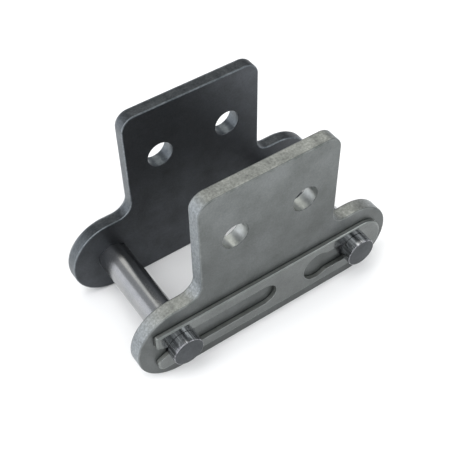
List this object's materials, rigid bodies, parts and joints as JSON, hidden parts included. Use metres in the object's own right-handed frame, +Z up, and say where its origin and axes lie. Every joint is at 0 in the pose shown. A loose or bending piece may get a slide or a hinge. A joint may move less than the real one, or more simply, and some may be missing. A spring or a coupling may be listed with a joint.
{
  "type": "chain connecting link",
  "caption": "Connecting link for a double-pitch conveyor chain: back plate with riveted pins, slip-on cover plate, spring clip, and an upright drilled tab on each plate.",
  "frame": {"origin": "middle of the left pin's journal: on the pin's axis, half way between the two plates' inner faces", "axes": "+X along the chain to the right pin, +Z up the two tabs at right angles to the chain, -Y towards the cover plate and the spring clip"},
  "size_m": [0.0545, 0.03, 0.0386],
  "materials": {
    "back_plate": "blackened steel, tumbled satin, edges rubbed brighter",
    "cover_plate": "plain steel, tumbled matt grey, edges rubbed brighter",
    "pin": "ground and polished steel",
    "spring_clip": "plain spring steel, matt grey"
  },
  "bodies": {
    "pin_plate": {"back_plate": "back_plate", "left_pin": "pin", "right_pin": "pin"},
    "cover": {"cover_plate": "cover_plate"},
    "clip": {"spring_clip": "spring_clip"}
  },
  "joints": [
    {"name": "cover_slide", "type": "slide", "parent": "pin_plate", "child": "cover", "axis": [0, 1, 0], "range_m": [0, 0.0201]},
    {"name": "clip_slide", "type": "slide", "parent": "pin_plate", "child": "clip", "axis": [1, 0, 0], "range_m": [0, 0.00855], "deforming": ["spring_clip"]}
  ]
}
